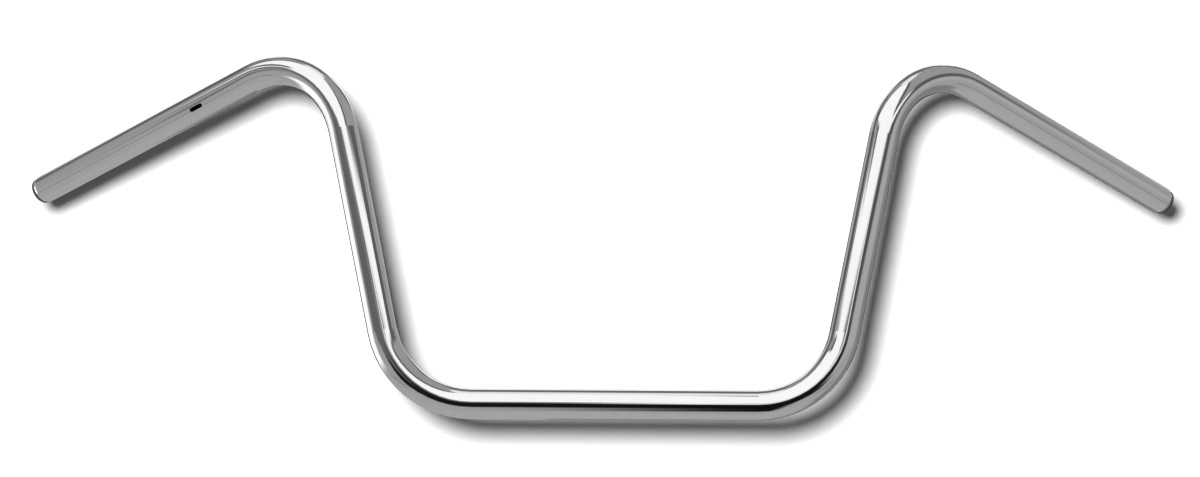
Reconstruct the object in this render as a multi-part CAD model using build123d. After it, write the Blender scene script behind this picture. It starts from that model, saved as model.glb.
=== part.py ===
from build123d import *
import os

# A bare motorcycle handlebar: one round steel tube, bent four times, with a plug pressed into
# each end. Millimetres. The origin is on the tube's axis, at the middle of the straight length
# that the risers clamp. +X points to the rider's left, +Y back towards the rider and +Z up.

# Tube, with a slight taper turned on each end so that grips start easily
TUBE_DIAMETER = 22.2
TUBE_WALL = 2.0
END_TAPER_LENGTH = 2.2
END_TAPER_DEPTH = 0.8

# Centreline: the points where its straight runs would meet if they had no bends, on the +X
# side. The -X side mirrors them.
BASE_HALF_WIDTH = 156.0
RISER_TOP = Vector(215.0, 41.0, 266.5)
GRIP_END = Vector(456.0, 160.5, 157.0)

# Bend radii, to the tube's axis
LOWER_BEND_RADIUS = 66.0
UPPER_BEND_RADIUS = 62.5

# Oblong hole for the switch wiring, in the -X grip run. It faces forward and slightly down
SLOT_LENGTH = 12.0
SLOT_WIDTH = 3.2
SLOT_FROM_END = 170.0
SLOT_FACES = Vector(0, -1, -0.15)

# End plugs: a rounded head as wide as the tapered end, and a spigot inside the bore
PLUG_HEAD_LENGTH = 3.2
PLUG_HEAD_ROUND = 1.6
PLUG_SPIGOT_LENGTH = 15.0
PLUG_SPIGOT_CHAMFER = 1.0
PLUG_CLEARANCE = 0.05

BORE_DIAMETER = TUBE_DIAMETER - 2 * TUBE_WALL
END_DIAMETER = TUBE_DIAMETER - 2 * END_TAPER_DEPTH


def other_side(point):
    """The same point on the -X side of the bar."""
    return Vector(-point.X, point.Y, point.Z)


def grip_end_plane(side):
    """A plane on the tube's end face, facing out along the grip. side is 1 for +X and -1 for -X."""
    end = GRIP_END if side > 0 else other_side(GRIP_END)
    top = RISER_TOP if side > 0 else other_side(RISER_TOP)
    return Plane(origin=end, z_dir=end - top)


def handlebar_tube():
    """The bent tube, with its bore, tapered ends and wiring slot."""
    base_end = Vector(BASE_HALF_WIDTH, 0, 0)
    half = [base_end, RISER_TOP, GRIP_END]
    corners = [other_side(point) for point in reversed(half)] + half
    radii = [UPPER_BEND_RADIUS, LOWER_BEND_RADIUS, LOWER_BEND_RADIUS, UPPER_BEND_RADIUS]
    centreline = FilletPolyline(*corners, radius=radii)
    start = Plane(origin=centreline @ 0, z_dir=centreline % 0)
    ring = start * (Circle(TUBE_DIAMETER / 2) - Circle(BORE_DIAMETER / 2))
    tube = sweep(ring, path=centreline)
    for side in (0, -1):
        end = tube.faces().sort_by(Axis.X)[side]
        tube = chamfer(end.outer_wire().edges(), END_TAPER_DEPTH, END_TAPER_LENGTH, reference=end)
    return tube - wiring_slot_cutter()


def wiring_slot_cutter():
    """The solid that the slot is cut with: it goes through the front wall of the -X grip run."""
    outward = grip_end_plane(-1).z_dir
    centre = other_side(GRIP_END) - outward * SLOT_FROM_END
    facing = SLOT_FACES - outward * SLOT_FACES.dot(outward)
    mouth = Plane(origin=centre, x_dir=outward, z_dir=facing)
    return mouth * extrude(SlotOverall(SLOT_LENGTH, SLOT_WIDTH), TUBE_DIAMETER)


def end_plug(side):
    """The plug in one end of the tube. Its head sits on the tube's end face."""
    head = extrude(Circle(END_DIAMETER / 2), PLUG_HEAD_LENGTH)
    head = fillet(head.edges().sort_by(Axis.Z)[-1], PLUG_HEAD_ROUND)
    spigot = extrude(Circle(BORE_DIAMETER / 2 - PLUG_CLEARANCE), -PLUG_SPIGOT_LENGTH)
    spigot = chamfer(spigot.edges().sort_by(Axis.Z)[0], PLUG_SPIGOT_CHAMFER)
    return grip_end_plane(side) * (head + spigot)


nodes = {
    "handlebar_tube": handlebar_tube(),
    "left_end_plug": end_plug(1),
    "right_end_plug": end_plug(-1),
}

os.makedirs("parts", exist_ok=True)
for name, shape in nodes.items():
    export_step(shape, f"parts/{name}.step")
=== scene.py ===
"""A bright-plated motorcycle handlebar, shown from the front in a pale studio."""

import math

import bpy
from mathutils import Euler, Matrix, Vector


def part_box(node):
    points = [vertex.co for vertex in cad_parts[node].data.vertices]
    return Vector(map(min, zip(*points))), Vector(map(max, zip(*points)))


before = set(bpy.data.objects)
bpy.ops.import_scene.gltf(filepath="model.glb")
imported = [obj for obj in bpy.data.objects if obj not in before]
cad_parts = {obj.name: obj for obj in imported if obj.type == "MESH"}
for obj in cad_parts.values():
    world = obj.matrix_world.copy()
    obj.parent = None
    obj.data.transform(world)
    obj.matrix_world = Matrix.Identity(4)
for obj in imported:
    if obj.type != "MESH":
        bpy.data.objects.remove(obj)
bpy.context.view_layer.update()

LOW, HIGH = (Vector(corner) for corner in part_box("handlebar_tube"))
PLUGS = ("left_end_plug", "right_end_plug")

# Camera: in front of the bar and a little to one side of its middle
CAMERA_PLACE = Vector((-0.0487, -1.2237, 0.0999))
CAMERA_TURN = math.radians(1.745)
CAMERA_PITCH = math.radians(0.914)
CAMERA_ROLL = math.radians(0.491)
LENS_WIDTHS = 1700 / 1200
SENSOR_MM = 36.0

# Stage: a floor below the bar and a wall behind it, joined by a cove. It reaches STAGE_REACH to
# each side and to the front, and the wall is that high
STAGE_REACH = 2.2
WALL_GAP = 0.24
FLOOR_DROP = 0.22
COVE_RADIUS = 0.12
COVE_STEP_DEGREES = 5
PAPER = (0.90, 0.90, 0.90, 1.0)
BLACK = (0.0, 0.0, 0.0, 1.0)

# Lights: the key is beside the camera, and the top one shines from this direction
KEY_FROM_CAMERA = Vector((-0.055, 0.0, 0.060))
KEY_RADIUS = 0.048
KEY_WATTS = 62.0
TOP_LIGHT_FROM = Vector((-0.12, -0.20, 1.0))
TOP_LIGHT_SPREAD = math.radians(8.0)
TOP_LIGHT_STRENGTH = 3.7

# Plating: rougher and darker where it is hazy, and rougher again in its polishing marks
PLATE_TINT = (0.60, 0.605, 0.61)
HAZE_TINT = 0.92
ROUGHNESS_CLEAR = 0.030
ROUGHNESS_HAZY = 0.075
MARK_ROUGHNESS = 0.020
WAVE_HEIGHT = 0.00002
MARK_HEIGHT = 0.0000025

# Plug plastic: a mix of a darker, shinier black and a duller one
PLASTIC_DARK = (0.014, 0.014, 0.015, 1.0)
PLASTIC_DULL = (0.034, 0.034, 0.036, 1.0)
ROUGHNESS_DARK = 0.34
ROUGHNESS_DULL = 0.52
GRAIN_HEIGHT = 0.00006

# The room that the chrome mirrors: its light from straight below, its light from ROOM_FROM
# degrees up and higher, and how far its patches vary. Matt surfaces get AMBIENT from it instead,
# and the camera sees WHITE_OUTSIDE past the stage
FLOOR_LEVEL = 0.80
ROOM_LEVEL = 0.62
ROOM_FROM = 20.0
PATCHES = 0.14
AMBIENT = 0.10
WHITE_OUTSIDE = 1.3

# Cards in that room, each as (left, right), (low, high), soft edge, light. The angles are degrees
# round the bar from straight ahead of it, and up from level. A later card covers an earlier one
CARDS = [
    ((-38, 38), (-20, 14), 4, 0.015),
    ((2, 22), (-44, 0), 6, 0.01),
    ((-64, -14), (-1, 17), 3, 0.25),
    ((28, 80), (-8, 12), 4, 0.78),
    ((9, 70), (12.5, 19), 1.5, 0.14),
    ((-132, -80), (-25, 5), 5, 2.2),
    ((-132, -106), (18, 40), 4, 0.20),
    ((80, 94), (24, 29), 1, 0.24),
    ((-130, -96), (10, 28), 3, 0.20),
    ((90, 190), (-50, 4), 6, 0.42),
    ((-76, 36), (17, 72), 3, 0.22),
    ((28, 84), (17, 31), 2, 0.22),
    ((-116, -50), (36, 88), 3, 0.22),
    ((-61, 23), (20.5, 88), 2, 2.0),
    ((-102, -50), (38, 88), 2, 2.0),
    ((12, 54), (20.5, 27.5), 2, 2.0),
    ((-82, -58), (23.5, 28), 1.5, 2.0),
    ((3, 8), (10, 40), 3, 2.0),
]

# Cards laid over those ones, each on both sides of the bar alike
PAIRED_CARDS = [
    ((46, 74), (-33, -27), 3, 0.50),
    ((128, 160), (30, 52), 5, 0.24),
    ((125, 190), (4, 28), 6, 0.85),
    ((-10, 190), (80, 100), 1.5, 1.8),
    ((120, 190), (76, 100), 3, 1.6),
    ((150, 190), (52, 73), 3, 0.30),
    ((138, 190), (-16, 9), 4, 0.07),
    ((144, 190), (12, 56), 3, 0.20),
    ((148, 190), (16, 46), 3, 1.7),
]


class Nodes:
    """A short way to write shader nodes: it makes them, links them and sets their values."""

    def __init__(self, tree):
        self.tree = tree
        tree.nodes.clear()

    def add(self, kind, settings=None, **inputs):
        """Makes a node. Each input is named after its socket, with _ for a space."""
        node = self.tree.nodes.new(kind)
        for name, value in (settings or {}).items():
            setattr(node, name, value)
        for name, value in inputs.items():
            self.feed(node, name.replace("_", " "), value)
        return node

    def feed(self, node, name, value):
        """Links a socket to an input, or sets the input's value. Digits name it by its place."""
        socket = node.inputs[int(name)] if name.isdigit() else node.inputs[name]
        if isinstance(value, bpy.types.NodeSocket):
            self.tree.links.new(value, socket)
        else:
            socket.default_value = value

    def math(self, operation, a, b=0.0):
        node = self.add("ShaderNodeMath", {"operation": operation})
        self.feed(node, "0", a)
        self.feed(node, "1", b)
        return node.outputs[0]

    def step(self, value, low, high):
        """0 at low, 1 at high, and smooth between."""
        node = self.add("ShaderNodeMapRange", {"interpolation_type": "SMOOTHSTEP"}, Value=value)
        self.feed(node, "From Min", low)
        self.feed(node, "From Max", high)
        return node.outputs["Result"]

    def spread(self, value, low, high, start=0.0, end=1.0):
        """low where the value is start, high where it is end, and in proportion between."""
        node = self.add("ShaderNodeMapRange", Value=value)
        self.feed(node, "From Min", start)
        self.feed(node, "From Max", end)
        self.feed(node, "To Min", low)
        self.feed(node, "To Max", high)
        return node.outputs["Result"]

    def blend(self, share, a, b):
        """The number a where share is 0, and b where it is 1."""
        node = self.add("ShaderNodeMix", {"data_type": "FLOAT"})
        self.feed(node, "0", share)
        self.feed(node, "2", a)
        self.feed(node, "3", b)
        return node.outputs[0]

    def blend_colour(self, share, a, b):
        """The colour a where share is 0, and b where it is 1."""
        node = self.add("ShaderNodeMix", {"data_type": "RGBA"})
        self.feed(node, "0", share)
        self.feed(node, "6", a)
        self.feed(node, "7", b)
        return node.outputs[2]

    def noise(self, where, scale, detail=2.0, roughness=0.5):
        node = self.add("ShaderNodeTexNoise", Vector=where, Scale=scale, Detail=detail)
        self.feed(node, "Roughness", roughness)
        return node.outputs["Fac"]


def card(nodes, below, around, upward, card_values):
    """Lays one card of the room over the light below it."""
    (left, right), (low, high), edge, level = card_values
    mask = 1.0
    for angle, start, end in ((around, left, right), (upward, low, high)):
        inside = nodes.math("MULTIPLY", nodes.step(angle, start - edge, start + edge),
                            nodes.step(angle, end + edge, end - edge))
        mask = nodes.math("MULTIPLY", inside, mask)
    return nodes.blend(mask, below, level)


def studio_world():
    """What the chrome mirrors: a grey room with cards in it, laid out by direction alone."""
    world = bpy.data.worlds.new("studio")
    world.use_nodes = True
    nodes = Nodes(world.node_tree)
    ray = nodes.add("ShaderNodeTexCoord").outputs["Generated"]
    parts = nodes.add("ShaderNodeSeparateXYZ", Vector=ray).outputs
    to_degrees = math.degrees(1.0)
    forward = nodes.math("MULTIPLY", parts["Y"], -1.0)
    around = nodes.math("MULTIPLY", nodes.math("ARCTAN2", parts["X"], forward), to_degrees)
    upward = nodes.math("MULTIPLY", nodes.math("ARCSINE", parts["Z"]), to_degrees)
    level = nodes.spread(upward, FLOOR_LEVEL, ROOM_LEVEL, start=-90.0, end=ROOM_FROM)
    patches = nodes.noise(ray, scale=5.0, detail=3.0)
    level = nodes.math("MULTIPLY", level, nodes.spread(patches, 1.0 - PATCHES, 1.0 + PATCHES))
    for values in CARDS:
        level = card(nodes, level, around, upward, values)
    either_side = nodes.math("ABSOLUTE", around)
    for values in PAIRED_CARDS:
        level = card(nodes, level, either_side, upward, values)
    rays = nodes.add("ShaderNodeLightPath").outputs
    level = nodes.blend(rays["Is Diffuse Ray"], level, AMBIENT)
    level = nodes.blend(rays["Is Camera Ray"], level, WHITE_OUTSIDE)
    light = nodes.add("ShaderNodeBackground", Strength=level)
    nodes.add("ShaderNodeOutputWorld", Surface=light.outputs[0])
    world.cycles.sampling_method = "NONE"
    bpy.context.scene.world = world


def new_material(name):
    """A material, a writer for its nodes, and the socket with the place on the object in metres."""
    material = bpy.data.materials.new(name)
    material.use_nodes = True
    nodes = Nodes(material.node_tree)
    place = nodes.add("ShaderNodeTexCoord").outputs["Object"]
    return material, nodes, place


def bright_plate():
    """Chrome plating: fine polishing marks, faint haze and a very slight waviness."""
    material, nodes, place = new_material("bright_plate")
    haze = nodes.noise(place, scale=38.0, detail=4.0, roughness=0.6)
    marks = nodes.noise(place, scale=900.0, detail=3.0, roughness=0.7)
    wave = nodes.noise(place, scale=24.0, detail=1.0)
    hazy_tint = tuple(HAZE_TINT * part for part in PLATE_TINT)
    colour = nodes.blend_colour(haze, PLATE_TINT + (1.0,), hazy_tint + (1.0,))
    rough = nodes.math("ADD", nodes.spread(haze, ROUGHNESS_CLEAR, ROUGHNESS_HAZY),
                       nodes.spread(marks, 0.0, MARK_ROUGHNESS))
    height = nodes.math("ADD", nodes.math("MULTIPLY", wave, WAVE_HEIGHT),
                        nodes.math("MULTIPLY", marks, MARK_HEIGHT))
    bump = nodes.add("ShaderNodeBump", Height=height, Strength=1.0, Distance=1.0)
    surface = nodes.add("ShaderNodeBsdfPrincipled", Metallic=1.0, Roughness=rough,
                        Base_Color=colour, Normal=bump.outputs[0])
    nodes.add("ShaderNodeOutputMaterial", Surface=surface.outputs[0])
    return material


def plug_plastic():
    """Satin black moulding, with a fine grain and duller patches."""
    material, nodes, place = new_material("plug_plastic")
    patches = nodes.noise(place, scale=180.0, detail=4.0, roughness=0.6)
    grain = nodes.noise(place, scale=2600.0, detail=2.0, roughness=0.6)
    colour = nodes.blend_colour(patches, PLASTIC_DARK, PLASTIC_DULL)
    rough = nodes.spread(patches, ROUGHNESS_DARK, ROUGHNESS_DULL)
    bump = nodes.add("ShaderNodeBump", Height=grain, Strength=0.5, Distance=GRAIN_HEIGHT)
    surface = nodes.add("ShaderNodeBsdfPrincipled", Roughness=rough, Base_Color=colour,
                        Normal=bump.outputs[0])
    nodes.add("ShaderNodeOutputMaterial", Surface=surface.outputs[0])
    return material


def pale_paper():
    """Plain pale paper with a faint grain, which isn't seen from behind."""
    material, nodes, place = new_material("pale_paper")
    grain = nodes.spread(nodes.noise(place, scale=60.0, detail=5.0), low=0.985, high=1.0)
    paper = nodes.add("ShaderNodeBsdfDiffuse", Color=nodes.blend_colour(grain, BLACK, PAPER))
    clear = nodes.add("ShaderNodeBsdfTransparent")
    behind = nodes.add("ShaderNodeNewGeometry").outputs["Backfacing"]
    both = nodes.add("ShaderNodeMixShader")
    nodes.feed(both, "0", behind)
    nodes.feed(both, "1", paper.outputs[0])
    nodes.feed(both, "2", clear.outputs[0])
    nodes.add("ShaderNodeOutputMaterial", Surface=both.outputs[0])
    return material


def dress(node, material):
    """Gives a CAD node its material in every slot."""
    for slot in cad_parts[node].material_slots:
        slot.material = material


def stage_strip(name, profile, material):
    """One part of the stage: its profile of (y, z) points, drawn out along X. The chrome doesn't
    mirror it, and it bounces no light."""
    corners = [(x, y, z) for y, z in profile for x in (-STAGE_REACH, STAGE_REACH)]
    faces = [(2 * i, 2 * i + 1, 2 * i + 3, 2 * i + 2) for i in range(len(profile) - 1)]
    mesh = bpy.data.meshes.new(name)
    mesh.from_pydata(corners, [], faces)
    mesh.shade_smooth()
    mesh.materials.append(material)
    strip = bpy.data.objects.new(name, mesh)
    bpy.context.collection.objects.link(strip)
    strip.visible_glossy = False
    strip.visible_diffuse = False
    return strip


def backdrop():
    """A floor below the bar, a wall close behind it, and the cove that joins them."""
    paper = pale_paper()
    floor_z = LOW.z - FLOOR_DROP
    wall_y = HIGH.y + WALL_GAP
    bend = []
    for turn in range(0, 91, COVE_STEP_DEGREES):
        angle = math.radians(turn)
        bend.append((wall_y - COVE_RADIUS + COVE_RADIUS * math.sin(angle),
                     floor_z + COVE_RADIUS - COVE_RADIUS * math.cos(angle)))
    return (stage_strip("floor", [(-STAGE_REACH, floor_z), bend[0]], paper),
            stage_strip("cove", bend, paper),
            stage_strip("wall", [bend[-1], (wall_y, floor_z + STAGE_REACH)], paper))


def place_light(data, place, lit):
    """Puts a light in the studio, facing the origin. It reaches only the objects in lit, and the
    chrome doesn't mirror it."""
    light = bpy.data.objects.new(data.name, data)
    bpy.context.collection.objects.link(light)
    light.location = place
    light.rotation_euler = (-place).to_track_quat("-Z", "Y").to_euler()
    light.visible_glossy = False
    light.visible_camera = False
    receivers = bpy.data.collections.new(data.name + "_receivers")
    for thing in lit:
        receivers.objects.link(thing)
    light.light_linking.receiver_collection = receivers


def key_light(lit):
    """The light that throws the bar's shadow on the wall. It is as bright far off as near."""
    data = bpy.data.lights.new("key", "POINT")
    data.shadow_soft_size = KEY_RADIUS
    data.energy = KEY_WATTS
    data.use_nodes = True
    nodes = Nodes(data.node_tree)
    steady = nodes.add("ShaderNodeLightFalloff", Strength=1.0)
    glow = nodes.add("ShaderNodeEmission", Strength=steady.outputs["Constant"])
    nodes.add("ShaderNodeOutputLight", Surface=glow.outputs[0])
    place_light(data, CAMERA_PLACE + KEY_FROM_CAMERA, lit)


def top_light(lit):
    """The soft light from above that lights the floor."""
    data = bpy.data.lights.new("top", "SUN")
    data.angle = TOP_LIGHT_SPREAD
    data.energy = TOP_LIGHT_STRENGTH
    place_light(data, TOP_LIGHT_FROM, lit)


def camera():
    """The camera at the photo's viewing angle."""
    data = bpy.data.cameras.new("camera")
    data.sensor_width = SENSOR_MM
    data.lens = SENSOR_MM * LENS_WIDTHS
    eye = bpy.data.objects.new("camera", data)
    bpy.context.collection.objects.link(eye)
    eye.location = CAMERA_PLACE
    aim = Euler((math.pi / 2 + CAMERA_PITCH, 0.0, -CAMERA_TURN), "XYZ").to_matrix()
    roll = Euler((0.0, 0.0, CAMERA_ROLL), "XYZ").to_matrix()
    eye.rotation_euler = (aim @ roll).to_euler()
    bpy.context.scene.camera = eye


dress("handlebar_tube", bright_plate())
plastic = plug_plastic()
for plug in PLUGS:
    dress(plug, plastic)
bar = [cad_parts[name] for name in ("handlebar_tube", *PLUGS)]

studio_world()
floor, cove, wall = backdrop()
key_light(bar + [cove, wall])
top_light(bar + [cove, floor])
camera()
bpy.context.scene.view_settings.view_transform = "Standard"
